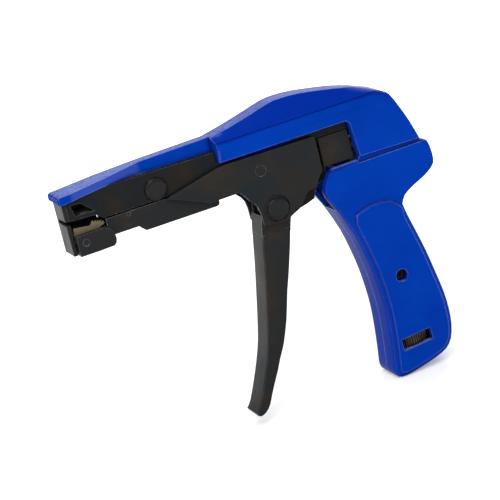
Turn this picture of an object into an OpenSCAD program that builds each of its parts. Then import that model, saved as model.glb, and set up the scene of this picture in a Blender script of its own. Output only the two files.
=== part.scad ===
// Cable tie tensioning tool.
// X runs from the nose to the grip, Z is up, Y = 0 is the plane where the two halves meet.
// The origin is the tie slot, in the front face of the nose.

/* [Overall] */
// Length from the front face to the shoulder of the body
nose_l = 70; // [66:1:74]
// Length of the body from its front shoulder to the back of the beavertail
body_l = 96; // [92:1:100]
// Height of the body from its underside to the crown
body_h = 17.8; // [17:0.2:19]
// Height of the underside of the body over the tie slot
body_z = 4.7; // [4.5:0.1:5]
// Drop from the underside of the body to the foot of the grip
grip_drop = 119; // [115:1:125]
// Half the thickness of the body
body_half = 9.5; // [9.4:0.1:10.2]
// Half the thickness of the grip
grip_half = 10.5; // [10.4:0.1:12]
// Half the width of the flat land along the crown
land_half = 4.8; // [4:0.1:5.5]
// Wall of the blue castings
wall = 1.8; // [1.5:0.1:2.1]

/* [Nose] */
// Half the width of the front plate
front_half = 6; // [5.8:0.1:6.1]
// Thickness of the front plate
front_t = 1.8; // [1.5:0.1:1.9]
// Drop of the front plate under the tie slot
front_drop = 14.2; // [13.6:0.1:14.8]
// Thickness of the nose plates
nose_t = 1.6; // [1.4:0.1:1.6]
// Height of the nose plates over the tie slot, at the front
nose_top = 10.8; // [10.6:0.1:11]
// Height of the tie slot
slot_h = 1.7; // [1.4:0.1:1.8]
// Half the width of the ridge at its front end
ridge_front_half = 7.2; // [6.8:0.1:7.6]
// Half the width of the ridge behind its flare
ridge_half = 2.9; // [2.5:0.1:3.4]
// Radius of the heads of the nose rivet
nose_head_r = 4.9; // [4.5:0.1:5]
// Radius of the shank of the nose rivet
nose_shank_r = 3; // [2.6:0.1:3.1]

/* [Draw channel] */
// Length of the channel from the carrier to its rounded end
channel_l = 50; // [47:1:51]
// Height of the channel behind the step in its floor
channel_h = 10.3; // [9.8:0.1:10.6]
// Height of the channel in front of the step in its floor
channel_front_h = 7.6; // [7.2:0.1:8]
// Distance of the outer face of the carrier from the middle plane
carrier_half = 9; // [8.6:0.1:9.6]
// Length of the carrier
carrier_l = 16.7; // [16.2:0.1:16.9]
// Height of the cheeks of the carrier
carrier_h = 8.9; // [8.5:0.1:9.2]
// Number of teeth on the pawl
pawl_teeth = 5; // [4:1:6]

/* [Lever] */
// Distance of the fulcrum pin behind the shoulder of the body
fulcrum_back = 17.2; // [17:0.1:17.6]
// Depth of the fulcrum pin under the tie slot
fulcrum_drop = 4; // [3.8:0.1:4.2]
// Radius of the fulcrum pin
fulcrum_r = 2.5; // [2.2:0.1:2.7]
// Length of the lever plates
lever_l = 71; // [70:0.5:72]
// Thickness of the lever plates
lever_t = 1.6; // [1.4:0.1:1.7]

/* [Trigger] */
// Distance of the trigger pivot behind the fulcrum pin
pivot_back = 3.9; // [3.8:0.1:4]
// Depth of the trigger pivot under the fulcrum pin
pivot_drop = 18.4; // [18.2:0.1:18.6]
// Length of the trigger from its pivot down to the tip
trigger_l = 87; // [82:1:90]
// Half the width of the trigger
trigger_half = 6.5; // [6.3:0.1:6.7]
// Thickness of the trigger's sheet
trigger_t = 1.5; // [1.3:0.1:1.6]
// Radius of the heads of the trigger pivot
pivot_head_r = 5; // [4.6:0.1:5.2]
// Radius of the shank of the trigger pivot
pivot_r = 3.2; // [2.8:0.1:3.3]

/* [Tension] */
// Radius of the knurled adjusting nut
nut_r = 8.4; // [8:0.1:8.4]
// Length of the adjusting nut
nut_l = 17; // [15:0.5:17.5]
// Ribs round the adjusting nut
nut_ribs = 48; // [36:4:60]
// Radius of the threaded tension rod
rod_r = 2.5; // [2:0.1:2.6]
// Height of the slot in the grip over the adjusting nut
nut_slot_h = 5.4; // [4.4:0.2:6]
// Length of the tension spring
spring_l = 11.5; // [10.5:0.5:12]
// Radius of the screw hole in the grip
screw_hole_r = 2.8; // [2.6:0.1:2.9]

/* [Hidden] */

// Shared allowances
over = 1;
gap = 0.4;
running = 0.05;
fork_play = 0.36;
fine = 96;

// Colours
blue = [0.02, 0.2, 0.66];
black_oxide = [0.13, 0.14, 0.15];
steel = [0.55, 0.55, 0.56];
pawl_tan = [0.66, 0.58, 0.43];
bronze = [0.3, 0.24, 0.17];

// Layers across the tool, from the middle plane outwards
core_half = 1.5;
strip_in = 2;
strip_out = 3.8;
plate_in = 4.4;
plate_out = plate_in + nose_t;
web_out = plate_out + gap;
lever_in = plate_out + 2 * gap;
lever_out = lever_in + lever_t;
inner_half = body_half - wall;
blind_l = 1.5;
blind_half = plate_out + blind_l;
proud = 0.1;

// Main places
fulcrum_x = nose_l + fulcrum_back;
fulcrum_z = -fulcrum_drop;
pivot_x = fulcrum_x + pivot_back;
pivot_z = fulcrum_z - pivot_drop;
rod_share = 0.71875;
rod_x = nose_l + rod_share * body_l;
crease_share = 0.472;
crease_z = body_z + crease_share * body_h;

// Nose and cutter
nose_pin_x = nose_l * 0.587;
nose_pin_z = nose_top * 0.213;
cutter_x = nose_l * 1.0857;
small_pin_r = 1.5;
drive_x = fulcrum_x - lever_l * 0.3831;
drive_z = -1.2;
strip_bottom = 5.8;
strip_top = 8.1;
cutter_z = strip_top + small_pin_r + gap;
lug_top = cutter_z + 1.55 * small_pin_r;
nose_low = -2.2;
nose_fall_share = 0.0186;

// Draw channel
channel_back = 15.2;
front_gap = 0.3;
carrier_hang = 0.2;
pawl_back = 3.9;
channel_x = front_t + channel_back;
channel_top = nose_low - 2 * gap;
channel_end = channel_x + channel_l;
carrier_x = front_t + front_gap;
carrier_end = carrier_x + carrier_l;
carrier_bottom = -front_drop - carrier_hang;
floor_t = 1.8;
pawl_x = front_t + pawl_back;
pawl_z = -9.1;
pawl_l = 10;
riser_x = 24.5;
riser_w = 5.2;
channel_pin_r = 0.9;
channel_pin_drop = 1.1;

// Trigger drive: the pin over the pivot works in the fork of the rocker
drive_pin_back = 0.5;
drive_pin_rise = 9.4;
rocker_pin_ahead = 4;
rocker_pin_rise = 16;
drive_pin_x = pivot_x + drive_pin_back;
drive_pin_z = pivot_z + drive_pin_rise;
rocker_pin_x = fulcrum_x - rocker_pin_ahead;
rocker_pin_z = fulcrum_z + rocker_pin_rise;
hub_r = 5.5;
bush_r = 4.4;
cheek_out = 5.8;
cheek_t = 1.6;
cheek_in = cheek_out - cheek_t;
cheek_r = 7;
pin_eye_r = 2.8;
fork_l = 11.5;
fork_start = 7.6;

// Tension parts, from the screw down
tail_ahead = 6;
link_top_half = 3.2;
screw_ahead = 0.5;
seat_gap = 0.1;
link_end = 3.2;
tail_x = rod_x - tail_ahead;
tail_z = -7;
screw_x = rod_x - screw_ahead;
screw_z = body_z - grip_drop * 0.616;
boss_r = 3.6;
nut_mid = body_z - grip_drop * 0.8715;
nut_top = nut_mid + nut_l / 2;
seat_t = 1.5;
seat_bottom = nut_top + seat_gap;
spring_bottom = seat_bottom + seat_t;
spring_top = spring_bottom + spring_l;
washer_t = 1.2;
ledge_z = spring_top + washer_t;
ledge_t = 2.4;
washer_play = 0.7;
washer_r = inner_half - washer_play;
link_bottom = screw_z - boss_r - link_end;
screw_seat = 5.6;
screw_end = 5.2;
screw_play = 0.2;
link_half = 1.7;

function bend(a, b, c, d, t) = 0.5 * (2 * b + (c - a) * t + (2 * a - 5 * b + 4 * c - d) * t * t
    + (3 * b - a - 3 * c + d) * t * t * t);
// A smooth run through the points p, n steps to each pair, without its last point
function run(p, n) = [for (i = [0 : len(p) - 2], k = [0 : n - 1])
    bend(p[max(i - 1, 0)], p[i], p[i + 1], p[min(i + 2, len(p) - 1)], k / n)];
function unit(v) = v / norm(v);
function flat(p) = [p[0], p[1]];
function plain(outline) = [for (p = outline) flat(p)];
// Outline moved inwards by d, times the third value of a point where it has one
function inset(p, d) = [for (i = [0 : len(p) - 1])
    let (
        q = flat(p[i]),
        a = unit(q - flat(p[(i + len(p) - 1) % len(p)])),
        b = unit(flat(p[(i + 1) % len(p)]) - q),
        m = [-a[1] - b[1], a[0] + b[0]],
        amount = len(p[i]) > 2 ? p[i][2] : 1
    ) q + d * amount * m / max(0.8, m * m / 2)];
// Points given as shares of one length, from a place in X and Z
function from(x, z, size, shares) = [for (s = shares) [x + s[0] * size, z + s[1] * size]];

// Height of the top edge of the nose plates
function plate_top(x) = nose_top - nose_fall_share * x;

// Extrudes an outline drawn in X and Z between two distances from the middle plane, on the left side
module slab(y_in, y_out) {
    translate([0, -y_in, 0]) rotate([90, 0, 0]) linear_extrude(y_out - y_in) children();
}
// The same on both sides
module slab_pair(y_in, y_out) {
    slab(y_in, y_out) children();
    mirror([0, 1, 0]) slab(y_in, y_out) children();
}
// The same through the middle plane
module slab_mid(half) {
    translate([0, half, 0]) rotate([90, 0, 0]) linear_extrude(2 * half) children();
}
// Box between two places in X and Z, through the middle plane
module block(x1, x2, half, z1, z2) {
    translate([x1, -half, z1]) cube([x2 - x1, 2 * half, z2 - z1]);
}
// Pin across the tool at a place in X and Z
module cross_pin(x, z, r, half) {
    translate([x, half, z]) rotate([90, 0, 0]) cylinder(r = r, h = 2 * half, $fn = fine);
}
// Domed rivet head standing out of a face at the distance y, on the left side
module rivet_head(x, z, r, y, h) {
    translate([x, -y, z]) rotate([90, 0, 0]) rotate_extrude($fn = fine)
        polygon([[0, 0], [r, 0], [r, h * 0.35], [r - h * 0.2, h * 0.7], [r - h * 0.6, h * 0.9],
            [r - h * 1.2, h], [0, h]]);
}
// Triangles that fill an anticlockwise outline p, taken off one corner at a time
function turned(a, b, c) = (b[0] - a[0]) * (c[1] - a[1]) - (b[1] - a[1]) * (c[0] - a[0]);
function covers(a, b, c, q) = turned(a, b, q) >= 0 && turned(b, c, q) >= 0 && turned(c, a, q) >= 0;
function spare_corner(p, left, i) =
    let (n = len(left), a = left[(i + n - 1) % n], b = left[i], c = left[(i + 1) % n])
    turned(p[a], p[b], p[c]) > running * running
        && len([for (k = left) if (k != a && k != b && k != c && covers(p[a], p[b], p[c], p[k])) k]) == 0;
function next_corner(p, left, i) =
    i >= len(left) - 1 || spare_corner(p, left, i) ? i : next_corner(p, left, i + 1);
function filled(p, left) = len(left) == 3 ? [left] : let (n = len(left), i = next_corner(p, left, 0))
    concat([[left[(i + n - 1) % n], left[i], left[(i + 1) % n]]],
        filled(p, concat([for (k = [2 : n - 1]) left[(i + k) % n]], [left[(i + 1) % n]])));
// Solid swept between outlines of the same number of points, each at its own distance on the left side
module loft(outlines, ys) {
    n = len(outlines[0]);
    m = len(outlines);
    points = [for (i = [0 : m - 1], p = outlines[i]) [p[0], -ys[i], p[1]]];
    sides = [for (i = [0 : m - 2], k = [0 : n - 1])
        let (a = i * n + k, b = i * n + (k + 1) % n) each [[a, a + n, b], [b, a + n, b + n]]];
    start = filled(outlines[0], [for (k = [0 : n - 1]) k]);
    end = [for (t = filled(outlines[m - 1], [for (k = [0 : n - 1]) k]))
        [for (k = [2, 1, 0]) t[k] + (m - 1) * n]];
    polyhedron(points = points, faces = concat(start, sides, end), convexity = 8);
}

// Outline of the casting, anticlockwise: shares of the body length behind its shoulder,
// then of the body height, or of the drop of the grip, over the underside of the body
underside_shares = [[0, 0], [0.615, 0]];
crown_shares = [[0.802, 0.483], [0.729, 0.646], [0.646, 0.775], [0.583, 0.848], [0.448, 0.972], [0.354, 1],
    [0.297, 0.972], [0.198, 0.837], [0.094, 0.702], [0, 0.6]];
window_shares = [[0.615, 0], [0.6265, -0.004], [0.632, -0.014], [0.647, -0.14], [0.638, -0.1515],
    [0.516, -0.1538]];
shoulder_shares = [[0.516, -0.1538], [0.4875, -0.1655], [0.4656, -0.1857], [0.449, -0.2193],
    [0.451, -0.2454], [0.4635, -0.2697], [0.4865, -0.3042], [0.504, -0.3353], [0.545, -0.422],
    [0.571, -0.506], [0.59, -0.586], [0.601, -0.67], [0.605, -0.737], [0.601, -0.82], [0.592, -0.905],
    [0.584, -0.96]];
foot_shares = [[0.584, -0.96], [0.59, -0.986], [0.615, -0.998], [0.66, -0.997], [0.72, -0.988],
    [0.8, -0.972], [0.856, -0.954], [0.893, -0.92], [0.911, -0.868], [0.915, -0.81], [0.909, -0.74],
    [0.89, -0.655], [0.866, -0.56], [0.838, -0.473], [0.815, -0.405], [0.805, -0.363]];
tail_shares = [[0.805, -0.363], [0.825, -0.335], [0.873, -0.3126], [0.931, -0.2924], [0.972, -0.273],
    [0.996, -0.252], [1, -0.225], [0.996, -0.19], [0.985, -0.163], [0.957, -0.151]];
back_shares = [[0.957, -0.151], [0.924, -0.071], [0.891, -0.0085], [0.868, 0.03], [0.845, 0.055],
    [0.802, 0.0722]];
// Share of the edge radius that the sharp edges get
crisp_share = 0.3;

function placed(shares, height, edge) = [for (s = shares)
    [nose_l + s[0] * body_l, body_z + s[1] * height, edge]];
// Points over the crease let down to it by the share t
function lowered(p, t) = [p[0], p[1] > crease_z ? p[1] + (crease_z - p[1]) * t * 0.95 : p[1], p[2]];
function casting_outline(t) = [for (p = concat(
        run(placed(underside_shares, body_h, crisp_share), 1),
        run(placed(window_shares, grip_drop, crisp_share), 1),
        run(placed(shoulder_shares, grip_drop, 1), 2),
        run(placed(foot_shares, grip_drop, 1), 2),
        run(placed(tail_shares, grip_drop, 1), 2),
        run(placed(back_shares, grip_drop, 1), 2),
        run(placed(crown_shares, body_h, 1), 2),
        placed([crown_shares[len(crown_shares) - 1]], body_h, 1)
    )) lowered(p, t)];
edge_r = 1.5;
bevel_w = body_half - land_half;

module casting_solid() {
    loft([
        inset(casting_outline(0), 0),
        inset(casting_outline(0), 0),
        inset(casting_outline(1 - edge_r / bevel_w), 0),
        inset(casting_outline(1 - edge_r / bevel_w / 3), edge_r / 3),
        inset(casting_outline(1), edge_r)
    ], [0, land_half, body_half - edge_r, body_half - edge_r / 3, body_half]);
}
// Hollow of the body over the height z, narrower under the bevels of the crown
split_share = 0.17;
split_z = body_z - split_share * grip_drop;
hollow_slope_share = 0.47;
function hollow_outline(t) = [for (p = inset(plain(casting_outline(t)), wall)) if (p[1] > split_z) p];
function grip_hollow() = [for (p = inset(plain(casting_outline(0)), wall)) if (p[1] < split_z) p];
// Raised side panel of the grip, over the shares of its top border
panel_shares = [[0.792, -0.371], [0.77, -0.349], [0.74, -0.329], [0.69, -0.3235], [0.64, -0.3235],
    [0.596, -0.333], [0.5625, -0.343], [0.555, -0.3755]];
panel_edge = 0.5;
panel_margin = 2.1;
module grip_panel() {
    lower = [for (p = inset(plain(casting_outline(0)), panel_margin)) if (p[1] < body_z - 0.4 * grip_drop) p];
    outline = concat(lower, plain(placed(panel_shares, grip_drop, 1)));
    loft([outline, outline, inset(outline, panel_edge)],
        [body_half - edge_r * 0.6, grip_half - panel_edge, grip_half]);
}
// Ridge over the nose, flared over the front: its side in shares of the nose length and of the height
// of the nose plates, and its top in shares of the nose length and of its front half width
ridge_low_shares = [[-0.0186, 0.852], [-0.0093, 0.787], [0, 0.787], [0.27, 0.954], [0.31, 0.954],
    [0.32, 0.861]];
ridge_high_shares = [[0.53, 1.398], [0.04, 1.12], [0, 1.111], [-0.0186, 1.037]];
ridge_top_shares = [[-0.0186, 0.889], [-0.0093, 1], [0.07, 1], [0.28, 0.847]];
ridge_rise_share = 0.463;
module ridge() {
    rear = nose_l + wall / 2;
    low = [for (s = ridge_low_shares) [s[0] * nose_l, s[1] * nose_top]];
    high = [for (s = ridge_high_shares) [s[0] * nose_l, s[1] * nose_top]];
    top = [for (s = ridge_top_shares) [s[0] * nose_l, -s[1] * ridge_front_half]];
    difference() {
        intersection() {
            slab(0, ridge_front_half + over) polygon(concat(low, [[rear, low[5][1]],
                [rear, nose_top * (1 + ridge_rise_share)]], high));
            linear_extrude(nose_top * 2) polygon(concat([[top[0][0], over]], top,
                [[nose_l * 0.53, -ridge_half], [rear, -ridge_half], [rear, over]]));
        }
        slab(-over, plate_out) polygon([[0, 0], [nose_l + over, 0], [nose_l + over, plate_top(nose_l + over)],
            [0, plate_top(0)]]);
    }
}

// Lobe inside the casting that carries the fulcrum pin, in shares of its length from the pin
web_l = 17;
web_shares = [[-0.19, 1.15], [0.99, 1.32], [0.99, 0.47], [0.58, 0.18], [0.46, -0.235], [0.28, -0.56],
    [0.047, -0.62], [-0.16, -0.8], [-0.26, -0.78], [-0.39, -0.635], [-0.48, -0.575], [-0.57, -0.41],
    [-0.6, -0.12], [-0.63, 0.376], [-0.19, 0.376]];
module web() {
    slab(plate_in, web_out) polygon(from(fulcrum_x, fulcrum_z, web_l, web_shares));
}

// One half of the casting, built on the left side
module casting(head_side) {
    window_x = nose_l + 0.632 * body_l;
    pocket_r = nut_r + gap;
    pocket_over = 7;
    nut_slot_w = 1.72 * nut_r;
    slot_tilt = 4;
    neck_half = 0.1875 * body_l;
    neck_h = 5;
    plate_play = 0.15;
    ledge_ahead = 0.1073 * body_l;
    ledge_l = 0.2729 * body_l;
    way_margin = 3;
    difference() {
        union() {
            difference() {
                union() {
                    casting_solid();
                    grip_panel();
                    ridge();
                }
                // Hollow of the body, and of the grip
                loft([hollow_outline(0), hollow_outline(0), hollow_outline(hollow_slope_share)],
                    [-over, land_half * 0.79, plate_out + gap]);
                slab(-over, inner_half) polygon(grip_hollow());
                block(rod_x - neck_half, rod_x + neck_half, plate_out, split_z - neck_h, split_z + neck_h);
                // Open underside of the body, its front, and the back of the window
                block(nose_l - over, window_x, plate_out, body_z - over, body_z + wall + over);
                block(nose_l - over, nose_l + wall + over, plate_out, body_z - over,
                    plate_top(nose_l) + plate_play);
                block(window_x - over, window_x + 2 * (wall + over), plate_out, body_z - 0.143 * grip_drop,
                    body_z);
                // Opening in the shoulder
                block(nose_l + 0.4 * body_l, nose_l + 0.52 * body_l, plate_out, body_z - 0.312 * grip_drop,
                    body_z - 0.145 * grip_drop);
            }
            web();
            translate([screw_x, 0, screw_z]) rotate([90, 0, 0])
                cylinder(r = boss_r, h = inner_half + over / 2, $fn = fine);
            slab(0, inner_half + over / 2) translate([rod_x - ledge_ahead, ledge_z])
                square([ledge_l, ledge_t]);
        }
        cross_pin(fulcrum_x, fulcrum_z, fulcrum_r, web_out + over);
        cross_pin(cutter_x, cutter_z, small_pin_r, blind_half);
        for (x = rivet_xs) cross_pin(x, rivet_z, small_pin_r, blind_half);
        // Room behind the lobe of the tail, and way for the link down from the window
        block(nose_l + 0.4 * body_l, fulcrum_x + 0.43 * lever_l + 2 * gap, strip_out + gap,
            body_z - 0.175 * grip_drop, body_z - 0.14 * grip_drop);
        block(tail_x - link_top_half - 2 * gap, tail_x + link_top_half + over, link_half + 2 * gap,
            body_z - 0.175 * grip_drop, body_z - 0.14 * grip_drop);
        // Way for the link and the rod through the ledge
        block(rod_x - boss_r - way_margin, rod_x + boss_r + way_margin, rod_r + gap, ledge_z - over,
            ledge_z + ledge_t + over);
        // Room and slot for the nut
        translate([rod_x, 0, nut_top - nut_l - over]) cylinder(r = pocket_r, h = nut_l + over + pocket_over,
            $fn = fine);
        translate([rod_x, -grip_half, nut_mid]) rotate([0, -slot_tilt, 0])
            translate([-nut_slot_w / 2, -over, -nut_slot_h / 2]) cube([nut_slot_w, grip_half, nut_slot_h]);
        // Groove across the side of the body
        slab(body_half - groove_t, body_half + over) polygon(groove());
        if (head_side) {
            translate([screw_x, -screw_seat, screw_z]) rotate([90, 0, 0])
                cylinder(r = screw_hole_r, h = grip_half, $fn = fine);
            cross_pin(screw_x, screw_z, small_pin_r + screw_play, screw_seat + over);
        } else {
            cross_pin(screw_x, screw_z, small_pin_r, screw_end);
        }
    }
}
groove_t = 0.9;
function groove() = [
    [nose_l + 0.636 * body_l, body_z - 0.1375 * grip_drop], [nose_l + body_l, body_z - 0.1445 * grip_drop],
    [nose_l + body_l, body_z - 0.158 * grip_drop], [nose_l + 0.636 * body_l, body_z - 0.1605 * grip_drop]];
rail_rise = 5.5;
rail_front = fulcrum_x + 0.99 * web_l + gap;
rail_back = nose_l + 0.63 * body_l;
rivet_xs = [for (share = [0.22, 0.77]) rail_front + share * (rail_back - rail_front)];
rivet_z = body_z + 0.545 * rail_rise;

module left_shell() {
    color(blue) casting(true);
}
module right_shell() {
    color(blue) mirror([0, 1, 0]) casting(false);
}

// Side plates of the nose, in shares of the nose length; the left one is open for the tie
nose_lug_shares = [1.06, 1.185];
nose_upper_shares = [[1.185, 0.046], [1.03, 0.046], [0.93, 0], [0.9, -0.0315]];
nose_left_shares = [[0.234, -0.0315], [0.194, 0], [0.06, 0.01], [0.0257, 0.012]];
nose_right_shares = [[0.234, -0.0315], [0.234, -0.073], [0.0257, -0.073]];
module nose_outline(low_shares) {
    lug = nose_l * nose_lug_shares;
    polygon(concat([[front_t, plate_top(front_t)], [lug[0], plate_top(lug[0])], [lug[0], lug_top],
        [lug[1], lug_top]],
        from(0, 0, nose_l, nose_upper_shares), from(0, 0, nose_l, low_shares)));
}
nose_window_shares = [[0.051, 0.1], [0.068, 0.031], [0.189, 0.031], [0.116, 0.097]];
module nose_cuts() {
    cross_pin(nose_pin_x, nose_pin_z, nose_shank_r, body_half);
    cross_pin(cutter_x, cutter_z, small_pin_r, body_half);
    // Room for the pin that drives the cutter
    cross_pin(drive_x, drive_z, small_pin_r + gap, body_half);
    block(drive_x - small_pin_r - gap, drive_x + small_pin_r + gap, body_half, nose_low - over, drive_z);
}
module nose_plate_left() {
    color(black_oxide) difference() {
        slab(plate_in, plate_out) nose_outline(nose_left_shares);
        slab(0, body_half) polygon(from(0, 0, nose_l, nose_window_shares));
        nose_cuts();
    }
}
module nose_plate_right() {
    color(black_oxide) difference() {
        slab(-plate_out, -plate_in) nose_outline(nose_right_shares);
        nose_cuts();
    }
}
module front_plate() {
    slot_far = 0.67 * front_half;
    color(black_oxide) difference() {
        block(0, front_t, front_half, -front_drop, plate_top(front_t));
        translate([-over, -front_half - over, -slot_h / 2]) cube([front_t + 2 * over,
            front_half + over + slot_far, slot_h]);
    }
}
module nose_rivet() {
    dome = 1.5;
    color(black_oxide) {
        cross_pin(nose_pin_x, nose_pin_z, nose_shank_r, plate_out);
        rivet_head(nose_pin_x, nose_pin_z, nose_head_r, plate_out, dome);
        mirror([0, 1, 0]) rivet_head(nose_pin_x, nose_pin_z, nose_head_r, plate_out, dome);
    }
}
module anvil() {
    anvil_back = 5.2;
    anvil_t = 1.35;
    color(steel) block(front_t + anvil_back, riser_x - gap, plate_in, slot_h / 2 + running,
        slot_h / 2 + running + anvil_t);
}
module cutter_pin() {
    color(steel) cross_pin(cutter_x, cutter_z, small_pin_r, blind_half);
}
module frame_rivets() {
    color(steel) for (x = rivet_xs) cross_pin(x, rivet_z, small_pin_r, blind_half);
}

// Plates in the window behind the lever plates
window_seam = 1.1;
seam_gap = 0.3;
module window_plate() {
    lever_gap = 2;
    front = fulcrum_x + 0.3845 * lever_l + lever_gap;
    low = body_z - 0.143 * grip_drop;
    slab(plate_in, plate_out) polygon([[front, window_seam - seam_gap], [front, low], [rail_back, low],
        [rail_back, window_seam - seam_gap]]);
}
module frame_rail() {
    difference() {
        slab(plate_in, plate_out) polygon([[rail_front, window_seam], [rail_back, window_seam],
            [rail_back, body_z + rail_rise], [rail_front, body_z + rail_rise]]);
        for (x = rivet_xs) cross_pin(x, rivet_z, small_pin_r, body_half);
    }
}
module window_plate_left() {
    color(black_oxide) window_plate();
}
module window_plate_right() {
    color(black_oxide) mirror([0, 1, 0]) window_plate();
}
module frame_rail_left() {
    color(black_oxide) frame_rail();
}
module frame_rail_right() {
    color(black_oxide) mirror([0, 1, 0]) frame_rail();
}
module fulcrum_pin() {
    color(black_oxide) cross_pin(fulcrum_x, fulcrum_z, fulcrum_r, lever_out);
}
module handle_screw() {
    head_l = 2;
    key_r = 1.3;
    color(steel) {
        translate([screw_x, screw_end, screw_z]) rotate([90, 0, 0])
            cylinder(r = small_pin_r, h = screw_end + screw_seat, $fn = fine);
        difference() {
            translate([screw_x, -screw_seat, screw_z]) rotate([90, 0, 0])
                cylinder(r = screw_hole_r - screw_play, h = head_l, $fn = fine);
            translate([screw_x, -screw_seat - 0.6 * head_l, screw_z]) rotate([90, 0, 0])
                cylinder(r = key_r, h = head_l, $fn = 6);
        }
    }
}
module spring_washer() {
    color(steel) translate([rod_x, 0, spring_top]) difference() {
        cylinder(r = washer_r, h = washer_t, $fn = fine);
        translate([0, 0, -over]) cylinder(r = rod_r + gap, h = washer_t + 2 * over, $fn = fine);
    }
}

// Channel that the trigger draws back, its floor stepped behind the carrier
module channel_outline() {
    step = channel_x + 0.27 * channel_l;
    low = channel_top - channel_h;
    polygon([[channel_x, channel_top], [channel_x, channel_top - channel_front_h],
        [step, channel_top - channel_front_h], [step + 0.01 * channel_l, low + 0.175 * channel_h],
        [step + 0.05 * channel_l, low], [channel_end - 0.03 * channel_l, low],
        [channel_end - 0.008 * channel_l, low + 0.04 * channel_h], [channel_end, low + 0.117 * channel_h],
        [channel_end, low + 0.214 * channel_h], [channel_end - 0.012 * channel_l, low + 0.291 * channel_h],
        [channel_end - 0.1 * channel_l, low + 0.35 * channel_h],
        [channel_end - 0.4 * channel_l, channel_top]]);
}
module draw_channel() {
    step = channel_x + 0.27 * channel_l;
    color(black_oxide) difference() {
        union() {
            slab_pair(plate_in, plate_out) channel_outline();
            intersection() {
                slab_mid(plate_in) channel_outline();
                union() {
                    block(carrier_end, step + nose_t, plate_in, channel_top - channel_front_h,
                        channel_top - channel_front_h + nose_t);
                    block(step, step + nose_t, plate_in, channel_top - channel_h,
                        channel_top - channel_front_h + nose_t);
                    block(step, channel_end, plate_in, channel_top - channel_h, channel_top - channel_h + nose_t);
                }
            }
        }
        cross_pin(riser_x + riser_w / 2, channel_top - channel_pin_drop, channel_pin_r, body_half);
    }
}
module channel_pin() {
    color(steel) cross_pin(riser_x + riser_w / 2, channel_top - channel_pin_drop, channel_pin_r,
        plate_out + proud);
}
module draw_link() {
    foot_z = channel_top - channel_front_h + nose_t;
    tail_l = 9;
    head_r = 4.2;
    pin_cover = 1.2;
    tail = rocker_pin_x - head_r;
    color(steel) difference() {
        union() {
            slab_pair(strip_in, plate_in) polygon([[riser_x, foot_z], [riser_x + riser_w, foot_z],
                [riser_x + riser_w, channel_top - proud], [riser_x, channel_top - proud]]);
            slab_pair(strip_in, strip_out) polygon([[riser_x, foot_z], [riser_x + riser_w, foot_z],
                [riser_x + riser_w, strip_bottom], [tail + tail_l, strip_bottom],
                [tail + tail_l, rocker_pin_z + pin_cover], [tail, rocker_pin_z + pin_cover], [tail, strip_top],
                [riser_x, strip_top]]);
        }
        cross_pin(riser_x + riser_w / 2, channel_top - channel_pin_drop, channel_pin_r, body_half);
        cross_pin(rocker_pin_x, rocker_pin_z, small_pin_r + running, body_half);
        block(rocker_pin_x - small_pin_r - running, rocker_pin_x + small_pin_r + running, body_half,
            rocker_pin_z, rocker_pin_z + pin_cover + over);
    }
}

// Carrier at the front of the channel, and the pawl in it
carrier_shares = [[0, 0.97], [0.35, 1], [0.77, 0.99], [0.86, 0.94], [0.93, 0.787], [0.985, 0.55], [1, 0.337],
    [0.97, 0.135], [0.905, 0.022], [0.5, 0], [0, 0]];
function carrier_outline() = [for (s = carrier_shares)
    [carrier_x + s[0] * carrier_l, carrier_bottom + s[1] * carrier_h]];
module pawl_carrier() {
    back_t = 2.2;
    color(black_oxide) difference() {
        union() {
            slab(plate_out, carrier_half) polygon(carrier_outline());
            intersection() {
                slab(-plate_out, plate_out) polygon(carrier_outline());
                block(0, carrier_end + over, plate_out, carrier_bottom, carrier_bottom + floor_t);
            }
            intersection() {
                slab_mid(plate_in) polygon(carrier_outline());
                block(carrier_end - back_t, carrier_end, plate_in, carrier_bottom, 0);
            }
            intersection() {
                slab(-plate_out, -plate_in) polygon(carrier_outline());
                block(0, channel_x, plate_out, carrier_bottom, 0);
            }
        }
        cross_pin(pawl_x, pawl_z, small_pin_r, carrier_half + over);
    }
}
module pawl_pin() {
    color(black_oxide) translate([pawl_x, plate_out, pawl_z]) rotate([90, 0, 0])
        cylinder(r = small_pin_r, h = plate_out + carrier_half, $fn = fine);
}
// Pawl and its spring, in shares of the pawl length from its pin
pawl_front_shares = [[-0.26, 0.6], [0, 0.57], [0.46, 0.51]];
pawl_back_shares = [[1.1, 0.42], [0.99, 0.37], [0.46, 0.16], [0.31, 0], [0.21, -0.21], [0, -0.3], [-0.21, -0.21],
    [-0.3, 0], [-0.3, 0.3]];
pawl_spring_shares = [[0.33, 0], [0.98, 0], [0.98, 0.06], [0.46, 0.06], [0.89, 0.56], [0.84, 0.59], [0.33, 0.05]];
module gripper_pawl() {
    pitch_share = 0.515 / pawl_teeth;
    tooth_shares = [for (i = [0 : pawl_teeth - 1], k = [0, 1]) let (at_share = (i + 0.45 * k) * pitch_share)
        [0.62 + at_share, 0.7 - 0.28 * at_share - 0.11 * k]];
    color(pawl_tan) difference() {
        slab_mid(plate_in - gap)
            polygon(from(pawl_x, pawl_z, pawl_l, concat(pawl_front_shares, tooth_shares, pawl_back_shares)));
        cross_pin(pawl_x, pawl_z, small_pin_r + running, body_half);
    }
}
module pawl_spring() {
    spring_half = 2.5;
    color(steel) slab_mid(spring_half)
        polygon(from(pawl_x, carrier_bottom + floor_t, pawl_l, pawl_spring_shares));
}

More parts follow.
